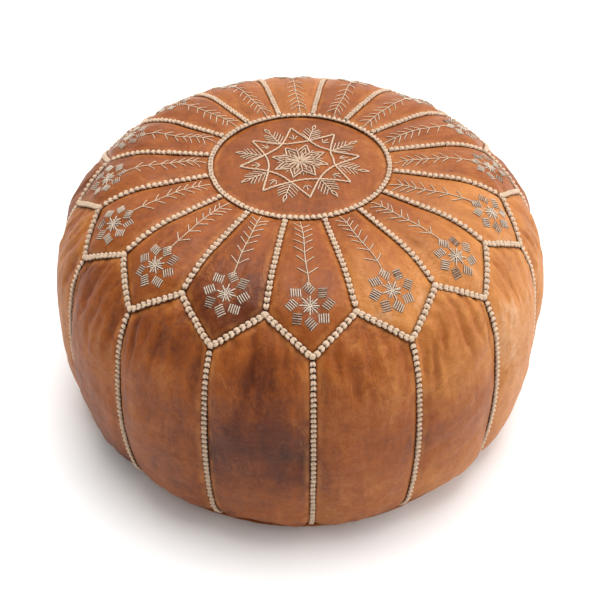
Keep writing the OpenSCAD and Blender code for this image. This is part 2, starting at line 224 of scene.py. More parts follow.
# ---- leather panels
SEAM_HALF_GAP, ZIGZAG_HALF_GAP = 0.2, 0.25
PANEL_MID_R = 240.0
PUFF_REACH = 36.0
PANEL_PUFF, MEDALLION_PUFF, PETAL_SHARE = 5.6, 3.4, 0.85
SEAM_DIP, SEAM_DIP_REACH = 0.6, 2.2


def edge_distance(points, rows, columns):
    """Distance from every grid point to the panel's edge."""
    grid = points.reshape(rows, columns, 3)
    edge = np.concatenate([grid[0], grid[-1], grid[:, 0], grid[:, -1]])
    nearest = np.empty(len(points))
    for start in range(0, len(points), 500):
        gap = points[start:start + 500, None, :] - edge[None]
        nearest[start:start + 500] = np.sqrt((gap ** 2).sum(-1).min(1))
    return nearest


class Cut:
    """The grid of one kind of panel: where its rows and columns lie, on the panel at the front."""

    def __init__(self, rows, columns, first_run, last_run):
        self.rows, self.columns = rows, columns
        inside = HALF - SEAM_HALF_GAP / PANEL_MID_R
        turn = np.linspace(-inside, inside, columns)
        down = np.linspace(0, 1, rows)[:, None]
        first, last = first_run(turn), last_run(turn)
        self.run = (first + (last - first) * down).ravel()
        self.down = np.broadcast_to(down, (rows, columns)).ravel()
        self.turn = np.broadcast_to(turn, (rows, columns)).ravel()
        self.flat = place(self.run, self.turn)
        self.edge = edge_distance(self.flat, rows, columns)
        top = place(first, turn)
        gap = self.flat.reshape(rows, columns, 1, 3) - top[None, None]
        self.below_top = np.sqrt((gap ** 2).sum(-1).min(-1)).ravel()
        self.across = section(self.run)[0] * self.turn


def petal_cut(rows, columns):
    return Cut(rows, columns, lambda t: np.full_like(t, RING_RUN + SEAM_HALF_GAP),
               lambda t: v_run(t) - ZIGZAG_HALF_GAP)


def side_cut(rows, columns):
    return Cut(rows, columns, lambda t: v_run(HALF - np.abs(t)) + ZIGZAG_HALF_GAP,
               lambda t: np.full_like(t, FOOT_RUN))


def pillow(edge, puff):
    """Height of a stuffed panel by the distance to its seams: steep beside them, then round."""
    near = 1 - np.clip(edge / PUFF_REACH, 0, 1)
    return puff * (1 - near ** 2.6) - SEAM_DIP * np.exp(-(edge / SEAM_DIP_REACH) ** 2)


# The share of the folds that is modelled before the cloth simulation, and how strongly each side panel is
# gathered below the zigzag, from side_panel_01 on.
FOLD_SHARE = 0.75
GATHER = [0.45, 1.7, 0.5, 0.9, 0.7, 1.1, 0.6, 0.9, 1.0, 0.7, 1.1, 0.6, 1.0, 1.45, 1.4, 0.75]


def side_folds(cut, index):
    """Ridges that run down from the gathered top edge of a side panel and fade, with narrow dents between."""
    draw = np.random.default_rng(200 + index)
    depth = cut.below_top
    fade = (1 - np.exp(-depth / 8)) * np.exp(-(depth / draw.uniform(60, 80)) ** 2.4)
    x = cut.across + 4 * waves(cut.across, cut.run, 80, 300 + index) - 0.1 * np.sign(cut.across) * depth
    total = np.zeros_like(x)
    for length, size in ((draw.uniform(15, 19), 0.7), (draw.uniform(9, 12), 0.3)):
        ridge = np.abs(np.sin(np.pi * x / length + draw.uniform(0, np.pi)))
        total += size * (ridge ** 0.7 - 0.72)
    patch = np.clip(0.7 + 0.5 * waves(cut.across, cut.run, 100, 400 + index, 4), 0.1, 1.5)
    low = np.exp(-((FOOT_RUN - cut.run) / 60) ** 2)
    creases = 0.35 * low * waves(cut.across * 0.35, cut.run, 24, 500 + index)
    wrinkles = np.clip(waves(cut.across, cut.run, 130, 560 + index, 4), 0, 1) * waves(
        cut.across * 0.22, cut.run, 11, 580 + index)
    return 1.9 * GATHER[index - 1] * fade * patch * total + creases + 0.16 * wrinkles


def calm_at_edge(edge, width=7):
    return 1 - np.exp(-(edge / width) ** 2)


def petal_height(cut, index):
    broad = 0.7 * waves(cut.across, cut.run, 70, 600 + index)
    fine = 0.22 * waves(cut.across, cut.run, 22, 700 + index)
    return pillow(cut.edge, PANEL_PUFF * PETAL_SHARE) + calm_at_edge(cut.edge) * (broad + fine)


def side_height(cut, index):
    broad = 1.1 * waves(cut.across, cut.run, 110, 800 + index)
    fine = 0.25 * waves(cut.across, cut.run, 30, 900 + index)
    folds = FOLD_SHARE * side_folds(cut, index)
    return pillow(cut.edge, PANEL_PUFF) + calm_at_edge(cut.edge) * (broad + fine + folds)


# ---- cloth simulation of the leather
CLOTH_FRAMES, SEWN_FRAME = 20, 9
CLOTH = {"quality": 5, "mass": 0.1, "tension_stiffness": 15, "compression_stiffness": 15,
         "shear_stiffness": 5, "bending_stiffness": 0.5, "air_damping": 1, "use_pressure": True,
         "uniform_pressure_force": 20}


def settle(sheets):
    """Lets sheets of leather fill out under the stuffing's pressure, by cloth simulation.

    A sheet is (rows, columns, points as cut, points as sewn, most move). The cut is a little wider than
    its place, so it puckers as its edges are drawn in and sewn down. Returns each sheet's moves.
    """
    start, faces, rims = 0, [], []
    for rows, columns, *_ in sheets:
        rim = np.ones((rows, columns), bool)
        rim[1:-1, 1:-1] = False
        rims.append(start + np.nonzero(rim.ravel())[0])
        faces.append(grid_faces(rows, columns, start))
        start += rows * columns
    cut, sewn = (np.concatenate([sheet[k] for sheet in sheets]) for k in (2, 3))
    mesh = bpy.data.meshes.new("cloth")
    mesh.from_pydata((cut * MM).tolist(), [], np.concatenate(faces).tolist())
    cloth = bpy.data.objects.new("cloth", mesh)
    bpy.context.scene.collection.objects.link(cloth)
    cloth.vertex_groups.new(name="pin").add(np.concatenate(rims).tolist(), 1.0, "REPLACE")
    cloth.shape_key_add(name="Basis")
    key = cloth.shape_key_add(name="sewn")
    key.data.foreach_set("co", (sewn * MM).astype(np.float32).ravel())
    for number, value in ((1, 0.0), (SEWN_FRAME, 1.0)):
        key.value = value
        key.keyframe_insert("value", frame=number)
    modifier = cloth.modifiers.new("cloth", "CLOTH")
    for setting, value in CLOTH.items():
        setattr(modifier.settings, setting, value)
    modifier.settings.vertex_group_mass = "pin"
    modifier.settings.effector_weights.gravity = 0
    modifier.collision_settings.use_collision = False
    modifier.point_cache.frame_start, modifier.point_cache.frame_end = 1, CLOTH_FRAMES
    for number in range(1, CLOTH_FRAMES + 1):
        bpy.context.scene.frame_set(number)
    shown = cloth.evaluated_get(bpy.context.evaluated_depsgraph_get())
    settled = np.empty(sewn.size, np.float32)
    shown.data.vertices.foreach_get("co", settled)
    moves = settled.reshape(-1, 3) / MM - sewn
    bpy.data.objects.remove(cloth)
    bpy.context.scene.frame_set(1)
    out, start = [], 0
    for rows, columns, _, _, most in sheets:
        move = moves[start:start + rows * columns]
        start += rows * columns
        size = np.maximum(np.linalg.norm(move, axis=1), 1e-6)[:, None]
        out.append((move * most * np.tanh(size / most) / size).reshape(rows, columns, 3))
    return out


def spline_weights(fine, coarse):
    """The matrix that turns values at coarse even steps into values at fine even steps, by cubic pieces."""
    at = np.linspace(0, coarse - 1, fine)
    first = np.clip(at.astype(int), 0, coarse - 2)
    f = at - first
    shares = ((-f + 2 * f ** 2 - f ** 3) / 2, (2 - 5 * f ** 2 + 3 * f ** 3) / 2,
              (f + 4 * f ** 2 - 3 * f ** 3) / 2, (f ** 3 - f ** 2) / 2)
    weights = np.zeros((fine, coarse))
    for step, share in zip((-1, 0, 1, 2), shares):
        np.add.at(weights, (np.arange(fine), np.clip(first + step, 0, coarse - 1)), share)
    return weights


def finer(move, rows, columns):
    """Moves on a coarse grid, brought to a finer one."""
    down, along = spline_weights(rows, move.shape[0]), spline_weights(columns, move.shape[1])
    return np.einsum("ri,ijk,cj->rck", down, move, along).reshape(-1, 3)


def build_shell(name, cut, centre, height, material, tone, shift=0.0, fold=0.0):
    """A leather shell as thick as its hide. height stands out of the section, shift is the simulated move."""
    turn = cut.turn + centre
    outer = place(cut.run, turn, height) + shift
    inner = place(cut.run, turn, height - LEATHER_T) + shift
    count = len(outer)
    uv = np.stack([cut.across, cut.run], -1) * MM + np.array([0.37 * centre, 0.61 * centre])
    floats = {"edge": np.tile(cut.edge, 2), "tone": np.tile(tone, 2),
              "fold": np.tile(np.broadcast_to(fold, count), 2)}
    return make_piece(name, np.concatenate([outer, inner]), shell_faces(cut.rows, cut.columns), material,
                      floats, np.tile(uv, (2, 1)))


def finish_piece(piece, body, slot, *nodes):
    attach(piece, body)
    if nodes:
        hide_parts(*nodes)
    return piece


# ---- materials
# The colour sockets of Blender's Mix node, which share their names with its number sockets
COLOUR_A, COLOUR_B, COLOUR_OUT = 6, 7, 2


class Shader:
    """A short way to build one node material."""

    def __init__(self, name):
        self.material = bpy.data.materials.new(name)
        self.material.use_nodes = True
        self.nodes = self.material.node_tree.nodes
        self.links = self.material.node_tree.links
        self.surface = self.nodes["Principled BSDF"]

    def node(self, kind, inputs=None, **settings):
        made = self.nodes.new("ShaderNode" + kind)
        for key, value in settings.items():
            setattr(made, key, value)
        for key, value in (inputs or {}).items():
            self.feed(made.inputs[key], value)
        return made

    def feed(self, socket, value):
        if isinstance(value, bpy.types.NodeSocket):
            self.links.new(value, socket)
        else:
            socket.default_value = value

    def set(self, **values):
        for key, value in values.items():
            self.feed(self.surface.inputs[key.replace("_", " ")], value)

    def attribute(self, name):
        return self.node("Attribute", attribute_name=name).outputs["Fac"]

    def noise(self, vector, scale, detail=3.0, roughness=0.55, distortion=0.0):
        return self.node("TexNoise", {"Vector": vector, "Scale": scale, "Detail": detail,
                                      "Roughness": roughness, "Distortion": distortion}).outputs["Fac"]

    def stretched(self, vector, scale, *settings):
        """A noise with its own scale on each axis."""
        return self.noise(self.node("Mapping", {"Vector": vector, "Scale": scale}).outputs["Vector"], 1.0,
                          *settings)

    def math(self, operation, a, b=0.0, c=0.0):
        made = self.node("Math", operation=operation)
        for socket, value in zip(made.inputs, (a, b, c)):
            self.feed(socket, value)
        return made.outputs[0]

    def ramp(self, factor, *stops):
        made = self.node("ValToRGB", {"Fac": factor})
        line = made.color_ramp
        while len(line.elements) < len(stops):
            line.elements.new(0.5)
        for element, (position, colour) in zip(line.elements, stops):
            element.position, element.color = position, (*colour, 1)
        return made.outputs["Color"]

    def level(self, value, low, high, out_low=0.0, out_high=1.0):
        return self.node("MapRange", {"Value": value, "From Min": low, "From Max": high,
                                      "To Min": out_low, "To Max": out_high}).outputs["Result"]

    def mix(self, factor, a, b):
        """Colour a, turning to the plain colour b where factor is 1."""
        made = self.node("Mix", data_type="RGBA")
        for socket, value in (("Factor", factor), (COLOUR_A, a), (COLOUR_B, (*b, 1))):
            self.feed(made.inputs[socket], value)
        return made.outputs[COLOUR_OUT]

    def times(self, a, b):
        return self.math("MULTIPLY", a, b)

    def plus_share(self, a, share, b):
        return self.math("MULTIPLY_ADD", a, share, b)

    def line(self, value, width):
        """1 where a noise crosses its middle, fading to 0 a width away."""
        return self.level(self.math("ABSOLUTE", self.math("SUBTRACT", value, 0.5)), 0.0, width, 1.0, 0.0)

    def bump(self, height, distance, strength=1.0, under=None):
        inputs = {"Height": height, "Distance": distance, "Strength": strength}
        if under is not None:
            inputs["Normal"] = under
        return self.node("Bump", inputs).outputs["Normal"]


def rgb(red, green, blue):
    """A colour given as it looks on a screen, 0 to 255, in the renderer's linear values."""
    return tuple(c / 12.92 if c <= 0.04045 else ((c + 0.055) / 1.055) ** 2.4
                 for c in (red / 255, green / 255, blue / 255))


# What brings the sum of the leather's noises to about 0 in the middle
MOTTLE_START = -0.92


def leather(name, stops, rough=0.42, fitted=True, tone=0.5, seam_shade=0.6):
    """Waxed tan leather: cloudy dye, veins, fine grain, fine creases darkened with painted shade, painted
    shade and light in the folds, a dark line of painted shade beside the seams, and a lighter band beyond it
    of wear and painted highlight.

    stops are the dye's colours from deep to pale, the pale last one standing for painted sheen, and tone is
    where on them the hide lies, set high on some panels for painted light.
    """
    deep, dark, middle, light, pale = stops
    s = Shader(name)
    place_3d = s.node("TexCoord").outputs["Object"]
    flat = s.node("UVMap", uv_map="cut").outputs["UV"] if fitted else place_3d
    cloud = s.noise(place_3d, 9, 3, 0.55, 0.4)
    blotch = s.noise(place_3d, 30, 6, 0.68, 0.9)
    streak = s.stretched(flat, (60, 15, 1), 6, 0.62, 1.0)
    speck = s.noise(place_3d, 420, 3, 0.6)
    smudge = s.stretched(flat, (120, 85, 1), 5, 0.65, 1.4)
    mixed = MOTTLE_START
    for part, share in ((cloud, 0.5), (smudge, 0.42), (blotch, 0.34), (streak, 0.42), (speck, 0.12)):
        mixed = s.plus_share(part, share, mixed)
    mixed = s.math("ADD", mixed, s.attribute("tone") if fitted else tone)
    if fitted:
        # Painted shade in the dents of the folds and painted light on their ridges
        mixed = s.plus_share(s.attribute("fold"), 0.06, mixed)
    # The pale last stop is painted sheen, reached where the tone is set high
    colour = s.ramp(s.times(mixed, 0.8), (0.0, deep), (0.24, dark), (0.48, middle), (0.8, light),
                    (0.98, pale))
    # Pale veins and scratches, and fine creases darkened with painted shade
    vein = s.line(s.stretched(flat, (24, 12, 1), 5, 0.55, 1.8), 0.012)
    vein = s.times(vein, s.level(s.noise(place_3d, 13, 2), 0.45, 0.64, 0.0, 0.34))
    colour = s.mix(vein, colour, light)
    crease = s.line(s.stretched(flat, (30, 62, 1), 4, 0.6, 2.4), 0.016)
    crease = s.times(crease, s.level(s.noise(place_3d, 17, 2), 0.46, 0.62, 0.0, 0.4))
    colour = s.mix(crease, colour, deep)
    rough_soft = s.plus_share(speck, 0.3, blotch)
    if fitted:
        edge = s.attribute("edge")
        # A lighter band beyond the dark line: wear, and painted highlight where the puffed leather rises from
        # the seam and catches the light
        rubbed_and_highlight = s.times(s.level(edge, 3.4, 4.6), s.level(edge, 5.5, 10.0, 1.0, 0.0))
        rubbed_and_highlight = s.times(rubbed_and_highlight, s.level(s.noise(place_3d, 60, 4), 0.4, 0.62, 0.05, 0.5))
        colour = s.mix(rubbed_and_highlight, colour, light)
        # A dark line right beside the seams: painted shade from the braid and the dip of the seam
        painted_shade = s.times(s.level(edge, 2.2, 4.0, seam_shade, 0.0),
                       s.level(s.noise(place_3d, 90, 2), 0.3, 0.6, 0.3, 1.0))
        colour = s.mix(painted_shade, colour, [c * 0.5 for c in deep])
    pores = s.node("TexVoronoi", {"Vector": place_3d, "Scale": 560.0}, feature="DISTANCE_TO_EDGE")
    grain = s.bump(s.level(pores.outputs["Distance"], 0.0, 0.25), 0.00015, 0.5)
    grain = s.bump(s.noise(place_3d, 150, 6, 0.62, 0.4), 0.0008, 0.55, grain)
    grain = s.bump(s.stretched(flat, (34, 64, 1), 6, 0.62, 1.0), 0.003, 0.38, grain)
    grain = s.bump(s.math("SUBTRACT", 1.0, crease), 0.0006, 0.6, grain)
    s.set(Base_Color=colour, Normal=grain, IOR=1.45, Specular_IOR_Level=0.27,
          Roughness=s.level(rough_soft, 0.3, 1.0, rough - 0.1, rough + 0.14))
    return s.material


def cord_material(name, dark, light, ply=7.0):
    """Twisted waxed cord: fibres along it, painted shade low between the turns and painted light on the tops.
    """
    s = Shader(name)
    around = s.node("UVMap", uv_map="cut").outputs["UV"]
    place_3d = s.node("TexCoord").outputs["Object"]
    twist = s.node("TexWave", {"Vector": around, "Scale": ply, "Distortion": 1.5, "Detail": 2.0},
                   wave_type="BANDS", bands_direction="DIAGONAL").outputs["Fac"]
    mottle = s.noise(place_3d, 240, 4, 0.6)
    # Painted shade and light by height: the lift attribute makes low parts dark and high parts light
    shade = s.math("ADD", s.level(s.attribute("lift"), 0.12, 0.8, 0.0, 0.8),
                   s.level(mottle, 0.3, 0.7, -0.1, 0.12))
    shade = s.math("ADD", shade, s.plus_share(twist, 0.12, s.attribute("tone")))
    between = tuple(0.38 * a + 0.62 * b for a, b in zip(dark, light))
    deep = tuple(c * 0.25 for c in dark)
    colour = s.ramp(shade, (0.0, deep), (0.16, dark), (0.42, between), (0.85, light))
    fuzz = s.bump(s.noise(place_3d, 1500, 2), 0.0002, 0.4)
    s.set(Base_Color=colour, Roughness=0.62, Normal=s.bump(twist, 0.0004, 0.7, fuzz), Sheen_Weight=0.1,
          Specular_IOR_Level=0.3)
    return s.material


def cloth_material(name, dark, light, threads=900.0):
    """Plain woven cotton."""
    s = Shader(name)
    place_3d = s.node("TexCoord").outputs["Object"]
    warp, weft = (s.node("TexWave", {"Vector": place_3d, "Scale": threads / 6}, bands_direction=axis)
                  for axis in "XY")
    weave = s.times(warp.outputs["Fac"], weft.outputs["Fac"])
    mottle = s.noise(place_3d, 60, 4)
    colour = s.ramp(s.plus_share(weave, 0.4, s.times(mottle, 0.8)), (0.2, dark), (0.8, light))
    s.set(Base_Color=colour, Roughness=0.85, Normal=s.bump(weave, 0.0003, 0.5), Sheen_Weight=0.2)
    return s.material


def brass_material(name):
    s = Shader(name)
    place_3d = s.node("TexCoord").outputs["Object"]
    tarnish = s.noise(place_3d, 180, 5, 0.65)
    colour = s.ramp(tarnish, (0.3, rgb(120, 84, 40)), (0.6, rgb(196, 152, 84)), (0.85, rgb(214, 178, 112)))
    brushed = s.stretched(place_3d, (300, 3000, 300), 3)
    s.set(Base_Color=colour, Metallic=1.0, Roughness=s.level(tarnish, 0.3, 0.8, 0.42, 0.24),
          Normal=s.bump(brushed, 0.00008, 0.4))
    return s.material


# The tan dye's colours from deep to pale; the pale last one is painted sheen
DYE_AND_SHEEN = [rgb(50, 20, 6), rgb(97, 42, 11), rgb(146, 76, 25), rgb(192, 124, 62), rgb(208, 161, 122)]
OLD_DYE = [rgb(34, 18, 10), rgb(62, 34, 20), rgb(98, 56, 32), rgb(132, 82, 50), rgb(150, 100, 66)]
LEATHER_TOP = leather("leather_top", DYE_AND_SHEEN, seam_shade=0.25)
LEATHER_SIDE = leather("leather_side", DYE_AND_SHEEN, 0.48)
LEATHER_BASE = leather("leather_base", OLD_DYE, 0.6, fitted=False)
LEATHER_WELT = leather("leather_welt", DYE_AND_SHEEN, 0.5, fitted=False, tone=0.72)
BRAID = cord_material("braid_cord", rgb(104, 66, 38), rgb(246, 216, 186))
THREAD = cord_material("embroidery_thread", rgb(120, 72, 40), rgb(252, 218, 186), 9.0)
FLOWER_THREAD = cord_material("flower_thread", rgb(104, 66, 40), rgb(250, 230, 208), 9.0)
COTTON = cloth_material("liner_cotton", rgb(190, 180, 158), rgb(232, 226, 210))
WADDING = cloth_material("wadding", rgb(206, 202, 190), rgb(240, 238, 230), 240.0)
TAPE = cloth_material("zip_tape", rgb(38, 26, 18), rgb(84, 62, 46), 1500.0)
BRASS = brass_material("zip_metal")


# ---- leather pieces
# Where on the dye's colours each panel lies, from the panel at the front round towards +X: a petal's
# inner and outer end, and a side panel's top, middle and bottom. Mostly the hide's own tone, but the outer
# ends of petals 02 to 04 and side panels 02 to 04 are set high as painted sheen and painted light from the
# right, and side panel 13 is set high as painted bounce light and reflection from the floor.
PETAL_TONE_AND_SHEEN = [(0.65, 0.62), (0.54, 1.05), (0.6, 1.04), (0.7, 1.03), (0.62, 0.6), (0.62, 0.62), (0.68, 0.68),
              (0.64, 0.64), (0.72, 0.76), (0.66, 0.64), (0.64, 0.62), (0.6, 0.57), (0.58, 0.53), (0.55, 0.51),
              (0.56, 0.5), (0.63, 0.34)]
SIDE_TONE_AND_LIGHT = [(0.68, 0.48, 0.62), (0.96, 0.54, 0.78), (0.99, 0.95, 0.86), (0.96, 0.93, 0.88),
             (0.66, 0.6, 0.6), (0.64, 0.58, 0.56), (0.56, 0.55, 0.56), (0.64, 0.58, 0.56),
             (0.54, 0.6, 0.56), (0.64, 0.64, 0.56), (0.5, 0.54, 0.56), (0.62, 0.58, 0.58),
             (0.8, 0.82, 0.72), (0.58, 0.53, 0.38), (0.59, 0.45, 0.48), (0.7, 0.17, 0.6)]
MEDALLION_TONE = 0.57


def disc_grid(count, radius):
    """Points of a square grid pressed into a disc, which has no pole."""
    u, v = np.meshgrid(np.linspace(-1, 1, count), np.linspace(-1, 1, count))
    x, y = u * np.sqrt(1 - v * v / 2), v * np.sqrt(1 - u * u / 2)
    return x.ravel() * radius, y.ravel() * radius


def medallion_points(count):
    """Edge distance, surface and places of the medallion on a grid of count by count."""
    x, y = disc_grid(count, MEDALLION_R - SEAM_HALF_GAP)
    r = np.hypot(x, y)
    run, turn = ARC_RADII[0] * np.arcsin(r / ARC_RADII[0]), np.arctan2(x, -y)
    edge = MEDALLION_R - SEAM_HALF_GAP - r
    uneven = 0.5 * waves(x, y, 60, 31) + 0.15 * waves(x, y, 20, 32)
    height = pillow(edge, MEDALLION_PUFF) + calm_at_edge(edge) * uneven
    return x, y, run, turn, edge, height


PETAL_COARSE, SIDE_COARSE, MEDALLION_COARSE = (26, 16), (60, 26), 25
PETAL_FINE, SIDE_FINE, MEDALLION_FINE = (66, 39), (116, 49), 81
# How much wider each sheet is cut than its place, and the most that the simulation may move it
MEDALLION_SLACK, PETAL_SLACK, SIDE_SLACK, GATHER_SLACK, GATHER_REACH = 0.006, 0.008, 0.01, 0.045, 60.0
MEDALLION_MOVE, PETAL_MOVE, SIDE_MOVE = 1.0, 1.2, 3.6


def simulated_moves():
    """Cloth-simulated moves of the medallion, the petals and the side panels, on coarse grids."""
    petal, side = petal_cut(*PETAL_COARSE), side_cut(*SIDE_COARSE)
    _, _, run, turn, _, height = medallion_points(MEDALLION_COARSE)
    sewn = place(run, turn, height)
    wide = 1 + MEDALLION_SLACK
    sheets = [(MEDALLION_COARSE, MEDALLION_COARSE, sewn * (wide, wide, 1), sewn, MEDALLION_MOVE)]
    gathered = np.exp(-(side.below_top / GATHER_REACH) ** 2)
    for index in range(1, SECTORS + 1):
        centre = (index - 1) * SECTOR
        out = petal_height(petal, index)
        sheets.append((petal.rows, petal.columns,
                       place(petal.run, centre + petal.turn * (1 + PETAL_SLACK), out),
                       place(petal.run, centre + petal.turn, out), PETAL_MOVE))
        out = side_height(side, index) + 0.3 * waves(side.across, side.run, 16, 40 + index)
        slack = SIDE_SLACK + GATHER_SLACK * GATHER[index - 1] * gathered
        sheets.append((side.rows, side.columns,
                       place(side.run, centre + HALF + side.turn * (1 + slack), out),
                       place(side.run, centre + HALF + side.turn, out), SIDE_MOVE))
    return settle(sheets)


petals, sides = [], []
petal_grid, side_grid = petal_cut(*PETAL_FINE), side_cut(*SIDE_FINE)
moves = simulated_moves()
for index in range(1, SECTORS + 1):
    label = f"{index:02d}"
    centre = (index - 1) * SECTOR
    shift = finer(moves[2 * index - 1], petal_grid.rows, petal_grid.columns)
    tone = np.interp(petal_grid.down, (0.15, 0.9), PETAL_TONE_AND_SHEEN[index - 1])
    petal = build_shell(f"petal_leather_{label}", petal_grid, centre, petal_height(petal_grid, index),
                        LEATHER_TOP, tone, shift)
    petals.append(finish_piece(petal, "cover", "leather_top", f"petal_panel_{label}"))
    shift = finer(moves[2 * index], side_grid.rows, side_grid.columns)
    out = (shift * normal(side_grid.run, centre + HALF + side_grid.turn)).sum(1)
    tone = np.interp(side_grid.down, (0.08, 0.45, 0.85), SIDE_TONE_AND_LIGHT[index - 1])
    # The fold values paint shade in the dents of the folds and light on their ridges
    side = build_shell(f"side_leather_{label}", side_grid, centre + HALF, side_height(side_grid, index),
                       LEATHER_SIDE, tone, shift, 0.5 * side_folds(side_grid, index) + np.clip(out, -3, 1))
    sides.append(finish_piece(side, "cover", "leather_side", f"side_panel_{label}"))


def build_medallion():
    count = MEDALLION_FINE
    x, y, run, turn, edge, height = medallion_points(count)
    shift = finer(moves[0], count, count)
    outer, inner = place(run, turn, height) + shift, place(run, turn, height - LEATHER_T) + shift
    floats = {"edge": np.tile(edge, 2), "tone": np.full(2 * len(x), MEDALLION_TONE),
              "fold": np.zeros(2 * len(x))}
    uv = np.stack([x, y], -1) * MM
    piece = make_piece("medallion_leather", np.concatenate([outer, inner]),
                       shell_faces(count, count)[:, ::-1], LEATHER_TOP, floats, np.tile(uv, (2, 1)))
    return finish_piece(piece, "cover", "leather_top", "top_medallion")


medallion = build_medallion()

# ---- braids
BRAID_PITCH = 6.0


def walk(run, turn, pitch, jitter=0.0, loosen=0.0):
    """Frames along a path on the leather: points, along, across, up and the length each has to itself."""
    points = place(run, turn)
    steps = lengths(points)
    count = max(2, int(round(steps[-1] / pitch / (1 + loosen / 3))))
    size = 1 + loosen * ((np.arange(count) + 0.5) / count) ** 2
    size *= steps[-1] / size.sum()
    at = np.cumsum(size) - size / 2 + rng.uniform(-jitter, jitter, count) * pitch
    runs, turns = np.interp(at, steps, run), np.interp(at, steps, turn)
    ahead = place(np.interp(at + 0.5, steps, run), np.interp(at + 0.5, steps, turn))
    behind = place(np.interp(at - 0.5, steps, run), np.interp(at - 0.5, steps, turn))
    along = ahead - behind
    along /= np.linalg.norm(along, axis=1)[:, None]
    up = normal(runs, turns)
    across = np.cross(along, up)
    across /= np.linalg.norm(across, axis=1)[:, None]
    return place(runs, turns), along, across, up, size


LOBE_RINGS, LOBE_SIDES = 7, 11


def lobe_shape(width, length, height, side):
    """One leaf of a plait in its own frame (across, along, up): points, uv and lift."""
    t = np.linspace(0, 1, LOBE_RINGS)[:, None]
    around = np.linspace(0, 2 * np.pi, LOBE_SIDES, endpoint=False)[None]
    full = np.sin(np.pi * (0.06 + 0.86 * t)) ** 0.7
    mid_x = side * width * (0.11 + 0.14 * t)
    mid_y = length * (t - 0.5)
    mid_z = height * (0.25 + 0.35 * np.sin(np.pi * np.clip(t * 1.06, 0, 1)) ** 0.8)
    ply = 1 + 0.07 * np.cos(4 * around + 7 * t)
    x = mid_x + width * 0.25 * full * ply * np.cos(around)
    y = mid_y + 0 * around
    z = mid_z + height * 0.4 * full * ply * np.sin(around)
    points = np.stack([x, y, z], -1).reshape(-1, 3)
    uv = np.stack(np.broadcast_arrays(around / (2 * np.pi), t * 2.0), -1).reshape(-1, 2)
    return points, uv, points[:, 2] / height


LOBE_FACES = tube_faces(LOBE_RINGS, LOBE_SIDES)


class Batch:
    """Points, faces and attributes of many small shapes that become one piece."""

    def __init__(self):
        self.points, self.faces, self.uv, self.lift, self.tone = [], [], [], [], []
        self.count = 0

    def add(self, points, faces, uv, lift, tone):
        self.faces += [tuple(i + self.count for i in f) for f in faces]
        self.points.append(points)
        self.uv.append(uv)
        self.lift.append(lift)
        self.tone.append(np.full(len(points), tone))
        self.count += len(points)

    def piece(self, name, material):
        return make_piece(name, np.concatenate(self.points), self.faces, material,
                          {"lift": np.concatenate(self.lift), "tone": np.concatenate(self.tone)},
                          np.concatenate(self.uv))


SHADE_STRIP_SECTION = np.array([[-0.36, 0.0], [-0.3, 0.36], [0.0, 0.46], [0.3, 0.36], [0.36, 0.0]])


def add_shade_strip(batch, points, across, up, along, width, height):
    """A dark strip under the plait, painted shade that fills the gaps between its links."""
    past = 2.5
    first, last = points[0] - along[0] * past, points[-1] + along[-1] * past
    points = np.concatenate([[first], points, [last]])
    across, up = (np.pad(way, ((1, 1), (0, 0)), mode="edge") for way in (across, up))
    rows, columns = len(points), len(SHADE_STRIP_SECTION)
    x, z = SHADE_STRIP_SECTION[:, 0] * width, SHADE_STRIP_SECTION[:, 1] * height
    shape = (points[:, None] + across[:, None] * x[None, :, None] + up[:, None] * z[None, :, None])
    uv = np.stack(np.meshgrid(np.linspace(0, 1, columns), np.arange(rows)), -1).reshape(-1, 2)
    ends = [tuple(range(columns)), tuple(range(rows * columns - 1, (rows - 1) * columns - 1, -1))]
    underside = [(k * columns, k * columns + columns - 1, (k + 1) * columns + columns - 1, (k + 1) * columns)
                 for k in range(rows - 1)]
    faces = [tuple(f) for f in grid_faces(rows, columns)] + underside + ends
    # Low lift and tone make the strip dark: painted shade between the links
    batch.add(shape.reshape(-1, 3), faces, uv, np.full(rows * columns, 0.05), -0.15)


def add_link(batch, point, ahead, side_way, high, width, length, height, swing=0.0, tone=0.0, painted_shade=0.0):
    """One link of a plait: two leaves that part as they go ahead, with painted shade on their ends."""
    front = ahead * math.cos(swing) + side_way * math.sin(swing)
    cross = side_way * math.cos(swing) - ahead * math.sin(swing)
    for side in (-1, 1):
        shape, uv, lift = lobe_shape(width * rng.uniform(0.94, 1.07), length * rng.uniform(0.94, 1.06),
                                     height * rng.uniform(0.92, 1.05), side)
        spot = point + cross * shape[:, :1] + front * shape[:, 1:2] + high * shape[:, 2:3]
        lift = lift - painted_shade * (1 - np.sin(np.pi * uv[:, 1] / 2))
        batch.add(spot, LOBE_FACES, uv + rng.uniform(0, 5, 2), lift, tone + rng.normal(0, 0.06))


def add_braid(batch, run, turn, width, height, pitch=BRAID_PITCH, overlap=1.08, tone=0.0, loosen=0.0):
    points, along, across, up, size = walk(run, turn, pitch, 0.05, loosen)
    for point, ahead, side_way, high, room in zip(points, along, across, up, size):
        drift = side_way * rng.normal(0, 0.12)
        # Lower down the pouf the links are shorter and have more painted shade on their ends
        low = float(np.clip(1 - point[2] / 110, 0, 1))
        add_link(batch, point + drift, ahead, side_way, high, width, room * (overlap - 0.14 * low), height,
                 rng.normal(0, 0.1), tone, 0.38 * low)
    add_shade_strip(batch, points, across, up, along, width, height)


def add_knot(batch, run, turn, width, height):
    """The bulky place where plaits meet: links that lie across each other."""
    point, up = place(run, turn), normal(run, turn)
    down = place(run + 0.5, turn) - place(run - 0.5, turn)
    down /= np.linalg.norm(down)
    across = np.cross(down, up)
    for swing, reach in ((rng.normal(0, 0.2), 0.0), (1.0 + rng.normal(0, 0.2), 0.8), (-1.0, -0.8)):
        add_link(batch, point + across * reach * 0.6 + up * 0.1, down, across, up, width, width * 0.95,
                 height * 1.04, swing)


